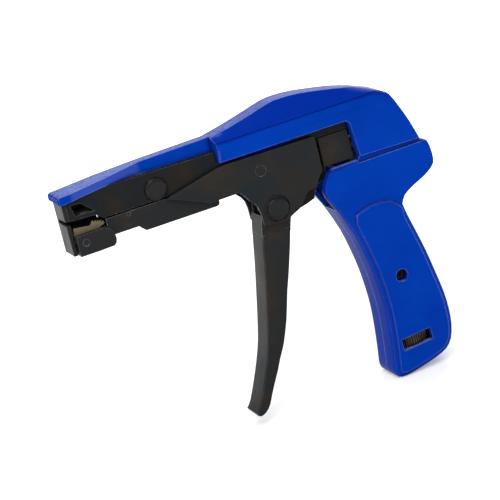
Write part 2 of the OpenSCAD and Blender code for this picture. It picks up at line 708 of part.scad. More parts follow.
// Rocker between the trigger and the draw link
module rocker() {
    fork_turn = atan2(drive_pin_z - fulcrum_z, drive_pin_x - fulcrum_x);
    arm_turn = atan2(rocker_pin_z - fulcrum_z, rocker_pin_x - fulcrum_x);
    arm_l = norm([rocker_pin_x - fulcrum_x, rocker_pin_z - fulcrum_z]);
    rocker_hub_r = 4.5;
    fork_half = 3.4;
    color(steel) translate([fulcrum_x, 0, fulcrum_z]) difference() {
        union() {
            cross_pin(0, 0, rocker_hub_r, core_half);
            rotate([0, -fork_turn, 0]) block(0, fork_l, core_half, -fork_half, fork_half);
            rotate([0, -arm_turn, 0]) {
                block(0, arm_l, core_half, -pin_eye_r, pin_eye_r);
                cross_pin(arm_l, 0, pin_eye_r, core_half);
            }
        }
        cross_pin(0, 0, fulcrum_r + running, body_half);
        rotate([0, -fork_turn, 0])
            block(fork_start, fork_l + over, body_half, -small_pin_r - fork_play, small_pin_r + fork_play);
        rotate([0, -arm_turn, 0]) cross_pin(arm_l, 0, small_pin_r, body_half);
    }
}
module rocker_pin() {
    color(steel) cross_pin(rocker_pin_x, rocker_pin_z, small_pin_r, strip_out + proud);
}

// Cutter
blade_t = 1.6;
blade_low = 1.2;
blade_lap = 0.9;
module cutter_lever() {
    bar_low = strip_top - blade_lap;
    bar_rise = 1.2;
    foot_half = 2.5;
    foot_flare = 1;
    foot_drop = 2.4;
    slot_play = 0.7;
    blade_back = front_t + front_gap + blade_t;
    color(steel) difference() {
        union() {
            slab_mid(core_half) polygon([[blade_back, bar_low], [drive_x - foot_half - foot_flare, bar_low],
                [drive_x - foot_half, drive_z - foot_drop], [drive_x + foot_half, drive_z - foot_drop],
                [drive_x + foot_half + foot_flare, bar_low], [cutter_x, cutter_z - pin_eye_r],
                [cutter_x, cutter_z + pin_eye_r], [cutter_x - pin_eye_r, strip_top + bar_rise],
                [blade_back, strip_top + bar_rise]]);
            cross_pin(cutter_x, cutter_z, pin_eye_r, core_half);
        }
        cross_pin(cutter_x, cutter_z, small_pin_r + running, body_half);
        cross_pin(drive_x, drive_z, small_pin_r + running, body_half);
        cross_pin(drive_x - slot_play, drive_z, small_pin_r + running, body_half);
        block(drive_x - slot_play, drive_x, body_half, drive_z - small_pin_r - running,
            drive_z + small_pin_r + running);
    }
}
module cutter_blade() {
    face = front_t + front_gap;
    color(steel) slab_mid(plate_in - gap) polygon([[face, blade_low], [face + blade_t, blade_low + blade_t],
        [face + blade_t, strip_top + blade_lap], [face, strip_top + blade_lap]]);
}

// Lever plates, in shares of their length from the fulcrum
lever_shares = [[-0.615, 0.017], [-0.579, 0.007], [-0.462, -0.042], [-0.349, -0.0915], [-0.2915, -0.09],
    [-0.159, -0.089], [-0.135, -0.117], [-0.111, -0.155], [-0.0845, -0.182], [-0.066, -0.214],
    [-0.058, -0.26], [-0.055, -0.335], [0.103, -0.345], [0.135, -0.325], [0.186, -0.303], [0.269, -0.214],
    [0.327, -0.21], [0.344, -0.169], [0.3845, -0.12], [0.3845, 0.076], [0.372, 0.097], [-0.208, 0.104],
    [-0.263, 0.097]];
module lever_plate() {
    seat_ahead = 0.7;
    seat_rise = 0.6;
    seat_rim = 1;
    difference() {
        slab(lever_in, lever_out) polygon(from(fulcrum_x, fulcrum_z, lever_l, lever_shares));
        cross_pin(fulcrum_x, fulcrum_z, fulcrum_r + running, body_half);
        cross_pin(pivot_x, pivot_z, pivot_r, body_half);
        cross_pin(drive_x, drive_z, small_pin_r, lever_in + stud_in);
        for (x = stud_xs) cross_pin(x, stud_z, stud_r, lever_in + stud_in);
        // Sunk seat of the pivot head, open towards the front
        translate([pivot_x - seat_ahead, -lever_out + pivot_sink, pivot_z + seat_rise]) rotate([90, 0, 0])
            cylinder(r = pivot_head_r + seat_rim, h = lever_t, $fn = fine);
    }
}
pivot_sink = 0.5;
stud_in = 0.8;
stud_r = 2;
stud_xs = [fulcrum_x + lever_l * 0.1944, fulcrum_x + lever_l * 0.307];
stud_z = -6.5;
module lever_plate_left() {
    color(black_oxide) lever_plate();
}
module lever_plate_right() {
    color(black_oxide) mirror([0, 1, 0]) lever_plate();
}
// Lobe of the tail under its block, that shows behind the trigger
tail_lobe_shares = [[0.17, -0.06], [0.146, -0.17], [0.146, -0.26], [0.175, -0.326], [0.211, -0.32],
    [0.262, -0.3085], [0.32, -0.29], [0.345, -0.215], [0.425, -0.19], [0.43, -0.06]];
module lever_tail() {
    eye_r = 3;
    tail_half = strip_out - 2 * proud;
    block_end = 4;
    block_rise = 2.5;
    block_drop = 3.5;
    color(black_oxide) difference() {
        union() {
            block(stud_xs[0] - block_end, stud_xs[1] + block_end, tail_half, stud_z - block_drop,
                stud_z + block_rise);
            slab_mid(tail_half) polygon(from(fulcrum_x, fulcrum_z, lever_l, tail_lobe_shares));
            slab_pair(link_half + gap, tail_half) polygon([[stud_xs[1] + eye_r, stud_z - block_drop],
                [tail_x, tail_z - eye_r], [tail_x, tail_z + eye_r], [stud_xs[1] + eye_r, stud_z + block_rise]]);
            difference() {
                cross_pin(tail_x, tail_z, eye_r, tail_half);
                block(tail_x - eye_r - over, tail_x + eye_r + over, link_half + gap, tail_z - eye_r - over,
                    tail_z + eye_r + over);
            }
        }
        for (x = stud_xs) cross_pin(x, stud_z, stud_r, body_half);
        cross_pin(tail_x, tail_z, small_pin_r, body_half);
    }
}
module tail_rivets() {
    color(steel) for (x = stud_xs) cross_pin(x, stud_z, stud_r, lever_in + stud_in);
}
module cutter_drive_pin() {
    color(steel) cross_pin(drive_x, drive_z, small_pin_r, lever_in + stud_in);
}
module trigger_pivot() {
    sunk = lever_out - pivot_sink;
    dome = 1.3;
    color(black_oxide) {
        cross_pin(pivot_x, pivot_z, pivot_r, sunk);
        rivet_head(pivot_x, pivot_z, pivot_head_r, sunk, dome);
        mirror([0, 1, 0]) rivet_head(pivot_x, pivot_z, pivot_head_r, sunk, dome);
    }
}

// Trigger, in shares of its length from the pivot: its front edge down, the tip, its back edge up
trigger_front_shares = [[-0.09, -0.0345], [-0.1, -0.082], [-0.121, -0.198], [-0.1345, -0.278],
    [-0.17, -0.459], [-0.191, -0.56], [-0.214, -0.66], [-0.247, -0.7575], [-0.286, -0.852],
    [-0.329, -0.946], [-0.354, -0.978]];
trigger_tip_shares = [[-0.354, -0.978], [-0.348, -0.992], [-0.33, -1], [-0.3, -0.987], [-0.273, -0.957],
    [-0.2505, -0.911]];
trigger_back_shares = [[-0.2505, -0.911], [-0.221, -0.855], [-0.191, -0.801], [-0.1665, -0.75],
    [-0.137, -0.6965], [-0.1195, -0.6585], [-0.084, -0.564], [-0.045, -0.4275], [-0.0195, -0.352],
    [0.0045, -0.275], [0.0275, -0.198], [0.0495, -0.114]];
function trigger_pts(shares) = from(pivot_x, pivot_z, trigger_l, shares);
function trigger_outline() = concat(
    trigger_pts([[-0.1058, -shoulder_share]]),
    [for (p = run(trigger_pts(trigger_front_shares), 2)) if (p[1] < shoulder_z - trigger_edge) p],
    run(trigger_pts(trigger_tip_shares), 2),
    run(trigger_pts(trigger_back_shares), 2),
    trigger_pts([trigger_back_shares[len(trigger_back_shares) - 1]]));
shoulder_share = 0.114;
shoulder_z = pivot_z - shoulder_share * trigger_l;
trigger_edge = 1;
// Front wall of the trigger on its inside, from one height down to another
function trigger_inside(high, low) = [for (p = run(trigger_pts(trigger_front_shares), 3))
    if (p[1] <= high && p[1] >= low) p + [trigger_t * 1.1, 0]];
module trigger() {
    foot_z = pivot_z - 0.93 * trigger_l;
    lap = trigger_t;
    back = pivot_x + 0.15 * trigger_l;
    color(black_oxide) difference() {
        union() {
            loft([
                inset(trigger_outline(), trigger_edge),
                inset(trigger_outline(), trigger_edge / 3),
                trigger_outline(),
                trigger_outline(),
                inset(trigger_outline(), trigger_edge / 3),
                inset(trigger_outline(), trigger_edge)
            ], [-trigger_half, -trigger_half + trigger_edge / 3, -trigger_half + trigger_edge,
                trigger_half - trigger_edge, trigger_half - trigger_edge / 3, trigger_half]);
            // Cheeks set in between the lever plates
            slab_mid(cheek_out) polygon(trigger_pts([[-0.0655, 0.008], [-0.0816, -0.0115], [-0.09, -0.0345],
                [-0.1, -0.082], [-0.108, -0.13], [0.0465, -0.13], [0.0495, -0.114], [0.0777, -0.0208]]));
            cross_pin(pivot_x, pivot_z, cheek_r, cheek_out);
        }
        // Hollow, open to the back and at the top
        slab_mid(trigger_half - trigger_t) polygon(concat(
            trigger_pts([[-0.105 + trigger_t * 1.1 / trigger_l, -shoulder_share + 0.004]]),
            trigger_inside(shoulder_z - gap, foot_z),
            [[back, foot_z], [back, shoulder_z + 0.004 * trigger_l]]));
        slab_mid(cheek_in) polygon(concat(
            [[back, shoulder_z - lap], [back, pivot_z + cheek_r + over],
                [pivot_x - cheek_r - over, pivot_z + cheek_r + over],
                [pivot_x - cheek_r - over, pivot_z - over]],
            trigger_inside(pivot_z - 2 * lap, shoulder_z - lap)));
        cross_pin(pivot_x, pivot_z, pivot_r + running, body_half);
    }
}
module trigger_bush() {
    color(steel) difference() {
        cross_pin(pivot_x, pivot_z, bush_r, cheek_in);
        cross_pin(pivot_x, pivot_z, pivot_r + running, body_half);
    }
}
module drive_arm() {
    root_half = 4.5;
    color(steel) difference() {
        union() {
            slab_pair(strip_in, cheek_in) translate([pivot_x, pivot_z]) circle(r = hub_r, $fn = fine);
            slab_pair(strip_in, strip_out) polygon([[pivot_x - root_half, pivot_z], [pivot_x + root_half, pivot_z],
                [drive_pin_x + pin_eye_r, drive_pin_z], [drive_pin_x - pin_eye_r, drive_pin_z]]);
            slab_pair(strip_in, strip_out) translate([drive_pin_x, drive_pin_z]) circle(r = pin_eye_r, $fn = fine);
        }
        cross_pin(pivot_x, pivot_z, bush_r, body_half);
        cross_pin(drive_pin_x, drive_pin_z, small_pin_r, body_half);
    }
}
module drive_pin() {
    color(steel) cross_pin(drive_pin_x, drive_pin_z, small_pin_r, strip_out + proud);
}
module trigger_spring() {
    color(steel) difference() {
        cross_pin(pivot_x, pivot_z, hub_r, core_half);
        cross_pin(pivot_x, pivot_z, bush_r, body_half);
    }
}

// Parts that set the tension
module tail_pin() {
    color(steel) cross_pin(tail_x, tail_z, small_pin_r, strip_out);
}
module pull_link() {
    link_wall = 1.8;
    neck_half = 3.5;
    neck_rise = 14;
    foot_rise = 7;
    pull_play = 0.1;
    pull_room = 1.3;
    slot_r = boss_r + gap;
    link_r = slot_r + link_wall;
    color(steel) difference() {
        slab_mid(link_half) polygon([[tail_x - link_top_half, tail_z],
            [tail_x, tail_z + link_top_half], [tail_x + link_top_half, tail_z], [rod_x + neck_half, screw_z + neck_rise],
            [screw_x + link_r, screw_z + foot_rise], [screw_x + link_r, link_bottom],
            [screw_x - link_r, link_bottom], [screw_x - link_r, screw_z + foot_rise],
            [rod_x - neck_half, screw_z + neck_rise]]);
        cross_pin(tail_x, tail_z, small_pin_r + running, body_half);
        cross_pin(tail_x + pull_play, tail_z, small_pin_r + running, body_half);
        cross_pin(screw_x, screw_z, slot_r, body_half);
        cross_pin(screw_x, screw_z - pull_room, slot_r, body_half);
        block(screw_x - slot_r, screw_x + slot_r, body_half, screw_z - pull_room, screw_z);
    }
}
module tension_rod() {
    rod_end = 0.5;
    bottom = nut_top - nut_l - rod_end;
    color(steel) translate([rod_x, 0, bottom]) cylinder(r = rod_r, h = link_bottom - bottom, $fn = fine);
}
module spring_seat() {
    color(steel) translate([rod_x, 0, seat_bottom]) difference() {
        cylinder(r = washer_r + gap, h = seat_t, $fn = fine);
        translate([0, 0, -over]) cylinder(r = rod_r + running, h = seat_t + 2 * over, $fn = fine);
    }
}
module adjusting_nut() {
    rib_h = 0.5;
    ribs = [for (i = [0 : nut_ribs - 1], k = [0 : 3])
        let (a = 360 * (i + k / 4) / nut_ribs, r = k < 2 ? nut_r : nut_r - rib_h) [r * cos(a), r * sin(a)]];
    color(bronze) translate([rod_x, 0, nut_top - nut_l]) difference() {
        linear_extrude(nut_l) polygon(ribs);
        translate([0, 0, -over]) cylinder(r = rod_r + running, h = nut_l + 2 * over, $fn = fine);
    }
}
module tension_spring() {
    color(steel) translate([rod_x, 0, spring_bottom]) difference() {
        cylinder(r = washer_r, h = spring_l, $fn = fine);
        translate([0, 0, -over]) cylinder(r = washer_r / 2, h = spring_l + 2 * over, $fn = fine);
    }
}

left_shell();
right_shell();
nose_plate_left();
nose_plate_right();
front_plate();
nose_rivet();
anvil();
cutter_pin();
frame_rivets();
window_plate_left();
window_plate_right();
frame_rail_left();
frame_rail_right();
fulcrum_pin();
handle_screw();
spring_washer();
draw_channel();
draw_link();
channel_pin();
pawl_carrier();
pawl_pin();
gripper_pawl();
pawl_spring();
rocker();
rocker_pin();
cutter_lever();
cutter_blade();
lever_plate_left();
lever_plate_right();
lever_tail();
tail_rivets();
cutter_drive_pin();
trigger_pivot();
trigger();
trigger_bush();
drive_arm();
drive_pin();
trigger_spring();
tail_pin();
pull_link();
tension_rod();
spring_seat();
adjusting_nut();
tension_spring();
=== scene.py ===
import math

import bpy
from mathutils import Matrix, Vector


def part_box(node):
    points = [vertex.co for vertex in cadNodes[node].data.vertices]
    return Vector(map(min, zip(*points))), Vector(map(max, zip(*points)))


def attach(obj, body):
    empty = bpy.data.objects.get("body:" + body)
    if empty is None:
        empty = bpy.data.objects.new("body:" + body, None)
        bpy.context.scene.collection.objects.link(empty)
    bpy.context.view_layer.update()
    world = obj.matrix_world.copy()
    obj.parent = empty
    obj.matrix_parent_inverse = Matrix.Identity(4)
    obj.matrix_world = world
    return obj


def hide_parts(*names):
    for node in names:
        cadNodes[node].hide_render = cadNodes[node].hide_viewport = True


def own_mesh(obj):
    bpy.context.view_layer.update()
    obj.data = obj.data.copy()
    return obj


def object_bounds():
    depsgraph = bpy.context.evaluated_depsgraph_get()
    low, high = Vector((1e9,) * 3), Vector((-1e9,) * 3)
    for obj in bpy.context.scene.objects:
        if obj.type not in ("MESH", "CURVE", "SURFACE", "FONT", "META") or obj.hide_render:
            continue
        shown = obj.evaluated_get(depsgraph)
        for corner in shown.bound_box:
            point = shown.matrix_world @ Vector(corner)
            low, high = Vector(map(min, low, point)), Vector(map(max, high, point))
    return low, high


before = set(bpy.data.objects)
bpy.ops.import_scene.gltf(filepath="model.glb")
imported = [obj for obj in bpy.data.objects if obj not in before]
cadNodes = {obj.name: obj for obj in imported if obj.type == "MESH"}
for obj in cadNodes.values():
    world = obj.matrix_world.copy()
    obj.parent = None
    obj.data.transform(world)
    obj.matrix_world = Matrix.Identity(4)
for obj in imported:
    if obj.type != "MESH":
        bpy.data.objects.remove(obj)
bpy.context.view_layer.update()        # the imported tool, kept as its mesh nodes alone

print("tool loaded:", len(cadNodes), "nodes")


# helpers for the node trees of the materials
def newFinish(name):
    # empty material with its output and shader, ready to be wired
    mat = bpy.data.materials.new(name)
    mat.use_nodes = True
    tree = mat.node_tree
    tree.nodes.clear()
    out = tree.nodes.new("ShaderNodeOutputMaterial")
    shader = tree.nodes.new("ShaderNodeBsdfPrincipled")
    tree.links.new(shader.outputs["BSDF"], out.inputs["Surface"])
    return mat, tree, shader


def place(tree):
    return tree.nodes.new("ShaderNodeTexCoord").outputs["Object"]


def axes(tree, vector):
    # the X, Y and Z of a vector
    split = tree.nodes.new("ShaderNodeSeparateXYZ")
    tree.links.new(vector, split.inputs["Vector"])
    return split.outputs["X"], split.outputs["Y"], split.outputs["Z"]


def spots(tree, where, scale, detail=3.0, rough=0.55, stretch=None):
    # soft noise in the object's own space; scale is in features a metre
    if stretch:
        mapping = tree.nodes.new("ShaderNodeMapping")
        mapping.inputs["Scale"].default_value = stretch
        tree.links.new(where, mapping.inputs["Vector"])
        where = mapping.outputs["Vector"]
    noise = tree.nodes.new("ShaderNodeTexNoise")
    noise.inputs["Scale"].default_value = scale
    noise.inputs["Detail"].default_value = detail
    noise.inputs["Roughness"].default_value = rough
    tree.links.new(where, noise.inputs["Vector"])
    return noise.outputs["Fac"]


def window(tree, value, low, high, outLow=0.0, outHigh=1.0):
    # maps low..high of a value to outLow..outHigh, clamped
    node = tree.nodes.new("ShaderNodeMapRange")
    for key, number in (("From Min", low), ("From Max", high), ("To Min", outLow), ("To Max", outHigh)):
        node.inputs[key].default_value = number
    tree.links.new(value, node.inputs["Value"])
    return node.outputs["Result"]


def reckon(tree, kind, a, b, clamp=True):
    # a and b are sockets or plain numbers; b isn't read where the kind takes one value
    node = tree.nodes.new("ShaderNodeMath")
    node.operation = kind
    node.use_clamp = clamp
    for socket, item in zip(node.inputs, (a, b)):
        if isinstance(item, (int, float)):
            socket.default_value = item
        else:
            tree.links.new(item, socket)
    return node.outputs["Value"]


def times(tree, first, *others):
    for item in others:
        first = reckon(tree, "MULTIPLY", first, item)
    return first


def plus(tree, a, b):
    return reckon(tree, "ADD", a, b)


def blendOf(tree, share, a, b):
    # colour a where share is 0, colour b where it is 1
    node = tree.nodes.new("ShaderNodeMix")
    node.data_type = "RGBA"
    shareSocket, aSocket, bSocket = node.inputs[0], node.inputs[6], node.inputs[7]
    tree.links.new(share, shareSocket)
    for socket, item in ((aSocket, a), (bSocket, b)):
        if isinstance(item, tuple):
            socket.default_value = (*item, 1)
        else:
            tree.links.new(item, socket)
    return node.outputs[2]


shadingRays = {"edgeSamples": 6, "hollowSamples": 8, "edgeReach": 3}     # edgeReach is in edge radii


def openness(tree, reach, low, high):
    # 1 in the open, 0 down in a groove or beside a wall
    hidden = tree.nodes.new("ShaderNodeAmbientOcclusion")
    hidden.samples = shadingRays["hollowSamples"]
    hidden.inputs["Distance"].default_value = reach
    return window(tree, hidden.outputs["AO"], low, high)


def openEdgeMask(tree, radius, turnSpan, openSpan):
    # 0 on a flat face, 1 where an outer edge turns within the radius and stands in the open
    eased = tree.nodes.new("ShaderNodeBevel")
    eased.samples = shadingRays["edgeSamples"]
    eased.inputs["Radius"].default_value = radius
    flat = tree.nodes.new("ShaderNodeNewGeometry")
    dot = tree.nodes.new("ShaderNodeVectorMath")
    dot.operation = "DOT_PRODUCT"
    tree.links.new(eased.outputs["Normal"], dot.inputs[0])
    tree.links.new(flat.outputs["Normal"], dot.inputs[1])
    low, high = turnSpan
    turned = window(tree, dot.outputs["Value"], high, low)
    return times(tree, turned, openness(tree, radius * shadingRays["edgeReach"], *openSpan))


def band(tree, value, middle, half, soft):
    # 1 within half of the middle, fading out over soft
    away = reckon(tree, "SUBTRACT", value, middle, clamp=False)
    size = reckon(tree, "ABSOLUTE", away, 0.0, clamp=False)
    return window(tree, size, half + soft, half)


def bumped(tree, shader, heights):
    # heights: (value, strength, distance in metres), laid one over another
    last = None
    for value, strength, distance in heights:
        bump = tree.nodes.new("ShaderNodeBump")
        bump.inputs["Strength"].default_value = strength
        bump.inputs["Distance"].default_value = distance
        tree.links.new(value, bump.inputs["Height"])
        if last:
            tree.links.new(last, bump.inputs["Normal"])
        last = bump.outputs["Normal"]
    tree.links.new(last, shader.inputs["Normal"])


# blue paint on the cast halves
# a Span is where a mask starts and where it is full, then the least and the most of it if they aren't 0 and 1
bluePaint = {
    "colour": (0.0002, 0.041, 0.385),
    "deep": (0.0002, 0.034, 0.345), "cloudScale": 38.0, "cloudSpan": (0.35, 0.65),
    "bright": (0.0006, 0.048, 0.43), "patchScale": 150.0, "patchSpan": (0.55, 0.8), "patchShare": 0.5,
    "slopeShade": (0.0008, 0.0195, 0.285),                       # painted shade: a darker blue on the bevels of the crown, and on faces that look forward
    "slopeSpan": (0.12, 0.35), "slopeShare": 0.75, "forwardSpan": (-0.35, -0.8), "forwardShare": 0.4,
    "pale": (0.3, 0.36, 0.66), "upSpan": (0.9, 0.985),      # pale dust and painted sheen on faces that look up
    "paleShare": 0.5, "ridgeShare": 0.6, "wallShare": 0.1,  # shares of the pale: dust and painted sheen on the body and the nose ridge, painted light on the ridge walls
    "speckScale": 900.0, "speckDetail": 3.0, "speckRough": 0.7, "speckSpan": (0.35, 0.62, 0.3, 1.0),
    "castSpan": (0.038, 0.036), "castStart": (0.004, 0.006),        # the rough ridge over the nose, along X
    "edgeRadius": 0.0005, "turnSpan": (0.86, 0.985), "openSpan": (0.55, 0.8),
    "rubAndGlintScale": 260.0, "rubAndGlintSpan": (0.42, 0.7, 0.04, 0.3),
    "shade": (0.0004, 0.007, 0.12), "hollowReach": 0.0022, "hollowSpan": (0.92, 0.5), "hollowShare": 0.9,
    "gloss": 0.24, "glossSpan": (0.3, 0.7), "glossLess": 0.04, "glossMore": 0.06, "castDull": 0.25,
    "shineFlat": 0.014, "shineEdge": 1.0,
    "fineDetail": 4.0,
}
# two faint lines along the sides of the body
bodyLines = {
    "frontSpan": (0.0695, 0.0705), "sideSpan": (0.0078, 0.0084),    # behind the shoulder, on the outer sides
    "creaseHeight": 0.0131, "creaseHalf": 0.00016, "creaseSoft": 0.00016,
    "seamHeight": 0.0087, "seamHalf": 0.00004, "seamSoft": 0.0001,
    "seamSpan": (0.106, 0.116), "seamShare": 0.4, "shadeShare": 0.75,
}
# bump of the paint: scale in features a metre, strength, distance in metres
paintBump = {
    "peel": (650.0, 0.14, 0.0001), "grain": (2600.0, 0.08, 0.00004),
    "lines": (0.6, -0.0002), "casting": (0.8, 0.0004), "noiseDetail": 2.0,
}


def bodyLineMask(tree, x, y, z):
    lines = bodyLines
    near, far = lines["sideSpan"]
    side = plus(tree, window(tree, y, -near, -far), window(tree, y, near, far))
    crease = band(tree, z, lines["creaseHeight"], lines["creaseHalf"], lines["creaseSoft"])
    seam = band(tree, z, lines["seamHeight"], lines["seamHalf"], lines["seamSoft"])
    seam = times(tree, seam, window(tree, x, *lines["seamSpan"]), lines["seamShare"])
    return times(tree, plus(tree, crease, seam), side, window(tree, x, *lines["frontSpan"]))


def makeBluePaint():
    paint = bluePaint
    mat, tree, shader = newFinish("bluePaint")
    where = place(tree)
    x, y, z = axes(tree, where)
    facing = tree.nodes.new("ShaderNodeNewGeometry")
    normalX, _, normalZ = axes(tree, facing.outputs["Normal"])

    clouds = spots(tree, where, paint["cloudScale"])
    colour = blendOf(tree, window(tree, clouds, *paint["cloudSpan"]), paint["deep"], paint["colour"])
    patches = spots(tree, where, paint["patchScale"], paint["fineDetail"])
    patches = window(tree, patches, *paint["patchSpan"], 0.0, paint["patchShare"])
    colour = blendOf(tree, patches, colour, paint["bright"])
    # painted shade: tilted faces and faces that look forward get the darker slopeShade blue
    slopeShading = times(tree, window(tree, normalZ, *paint["slopeSpan"]), paint["slopeShare"])
    colour = blendOf(tree, slopeShading, colour, paint["slopeShade"])
    forward = times(tree, window(tree, normalX, *paint["forwardSpan"]), paint["forwardShare"])
    colour = blendOf(tree, forward, colour, paint["slopeShade"])

    # pale specks on upward faces are dust with painted sheen; the ridge walls of the nose get painted light
    cast = window(tree, x, *paint["castSpan"])
    up = window(tree, normalZ, *paint["upSpan"])
    speck = spots(tree, where, paint["speckScale"], paint["speckDetail"], paint["speckRough"])
    share = window(tree, cast, 0, 1, paint["paleShare"], paint["ridgeShare"])
    dustAndSheen = times(tree, up, window(tree, speck, *paint["speckSpan"]), share)
    colour = blendOf(tree, dustAndSheen, colour, paint["pale"])
    ridgeWallLight = times(tree, cast, window(tree, x, *paint["castStart"]), paint["wallShare"])
    colour = blendOf(tree, ridgeWallLight, colour, paint["pale"])

    # pale on the open edges: worn paint and painted highlights
    edge = openEdgeMask(tree, paint["edgeRadius"], paint["turnSpan"], paint["openSpan"])
    rubAndGlint = spots(tree, where, paint["rubAndGlintScale"], paint["fineDetail"])
    colour = blendOf(tree, times(tree, edge, window(tree, rubAndGlint, *paint["rubAndGlintSpan"])), colour, paint["pale"])
    # painted shade: darker blue in hollows, grooves and beside walls
    hollow = times(tree, openness(tree, paint["hollowReach"], *paint["hollowSpan"]), paint["hollowShare"])
    colour = blendOf(tree, hollow, colour, paint["shade"])
    lines = bodyLineMask(tree, x, y, z)
    colour = blendOf(tree, times(tree, lines, bodyLines["shadeShare"]), colour, paint["shade"])
    tree.links.new(colour, shader.inputs["Base Color"])

    gloss = window(tree, clouds, *paint["glossSpan"], paint["gloss"] - paint["glossLess"],
                   paint["gloss"] + paint["glossMore"])
    tree.links.new(plus(tree, gloss, times(tree, cast, paint["castDull"])), shader.inputs["Roughness"])
    shine = window(tree, edge, 0, 1, paint["shineFlat"], paint["shineEdge"])
    tree.links.new(shine, shader.inputs["Specular IOR Level"])

    pits = spots(tree, where, paint["speckScale"], paint["fineDetail"], paint["speckRough"])
    heights = []
    for scale, strength, distance in (paintBump["peel"], paintBump["grain"]):
        heights.append((spots(tree, where, scale, paintBump["noiseDetail"]), strength, distance))
    heights.append((lines, *paintBump["lines"]))
    heights.append((times(tree, cast, up, pits), *paintBump["casting"]))
    bumped(tree, shader, heights)
    return mat


# bare and blackened metals; blotch is in features a metre, scratch and grain are strengths of bump; edge is
# the light colour of worn edges and of painted glints on them
blackOxide = {
    "base": (0.0165, 0.0175, 0.0185), "warm": (0.031, 0.023, 0.016), "cool": (0.012, 0.0185, 0.0225),
    "edge": (0.5, 0.51, 0.52), "glintAndWear": 0.7, "edgeRadius": 0.00028,
    "blotch": 46.0, "gloss": 0.3, "shineFlat": 0.05, "shineEdge": 1.0, "metal": 0.0,
    "scratch": 0.12, "grain": 0.1,
}
noseBlack = {
    "base": (0.0125, 0.0135, 0.015), "warm": (0.022, 0.017, 0.012), "cool": (0.009, 0.014, 0.019),
    "edge": (0.5, 0.51, 0.53), "glintAndWear": 0.75, "edgeRadius": 0.00028,
    "blotch": 60.0, "gloss": 0.24, "shineFlat": 0.03, "shineEdge": 1.0, "metal": 0.0,
    "scratch": 0.14, "grain": 0.1,
}
rivetBlack = {
    "turnSpan": (0.955, 0.992), "openSpan": (0.1, 0.3),     # the low dome gets worn metal and painted glints along its rim
    "base": (0.006, 0.007, 0.0085), "warm": (0.011, 0.008, 0.006), "cool": (0.005, 0.008, 0.012),
    "edge": (0.78, 0.79, 0.8), "glintAndWear": 0.95, "edgeRadius": 0.0005,
    "blotch": 75.0, "gloss": 0.2, "shineFlat": 0.14, "shineEdge": 1.0, "metal": 0.0,
    "scratch": 0.1, "grain": 0.1,
}
tanPlating = {
    "turned": (0.012, 0.011, 0.009),     # faces that don't look to the left stay dark
    "base": (0.19, 0.155, 0.09), "warm": (0.25, 0.18, 0.09), "cool": (0.13, 0.125, 0.09),
    "edge": (0.6, 0.54, 0.42), "glintAndWear": 0.55, "edgeRadius": 0.0002,
    "blotch": 260.0, "gloss": 0.38, "shineFlat": 0.2, "shineEdge": 0.8, "metal": 0.2,
    "scratch": 0.2, "grain": 0.15,
}
darkBronze = {
    "base": (0.05, 0.036, 0.026), "warm": (0.1, 0.062, 0.036), "cool": (0.022, 0.02, 0.019),
    "edge": (0.6, 0.47, 0.36), "glintAndWear": 0.75, "edgeRadius": 0.00018,
    "blotch": 160.0, "gloss": 0.34, "shineFlat": 0.3, "shineEdge": 0.9, "metal": 0.4,
    "scratch": 0.1, "grain": 0.2,
}
plainSteel = {
    "base": (0.3, 0.3, 0.3), "warm": (0.3, 0.27, 0.23), "cool": (0.22, 0.24, 0.26),
    "edge": (0.6, 0.6, 0.6), "glintAndWear": 0.4, "edgeRadius": 0.0003,
    "blotch": 90.0, "gloss": 0.3, "shineFlat": 0.5, "shineEdge": 0.6, "metal": 0.9,
    "scratch": 0.25, "grain": 0.1,
}
# what all the metals share
metalSurface = {
    "detail": 5.0, "rough": 0.6, "warmSpan": (0.5, 0.68), "coolSpan": (0.5, 0.7), "tintShare": 0.8,
    "coolScale": 1.7, "coolStretch": (1.0, 1.3, 0.8),       # the cool blotches, against the warm ones
    "turnedSpan": (0.8, 0.6), "turnSpan": (0.8, 0.985), "openSpan": (0.55, 0.8),
    "dashScale": 6, "dashDetail": 4.0, "dashRough": 0.65, "dashSpan": (0.46, 0.62, 0.12, 1.0),
    "hollowShade": (0.001, 0.001, 0.001), "hollowReach": 0.0012, "hollowSpan": (0.9, 0.4), "hollowShare": 0.85,
    "glossSpan": (0.3, 0.7), "glossLess": 0.06, "glossMore": 0.1,
    "brushScale": 900.0, "brushDetail": 2.0, "brushStretch": (0.06, 1.0, 1.0), "brushDepth": 0.00005,
    "grainScale": 1500.0, "grainDepth": 0.00006,
}


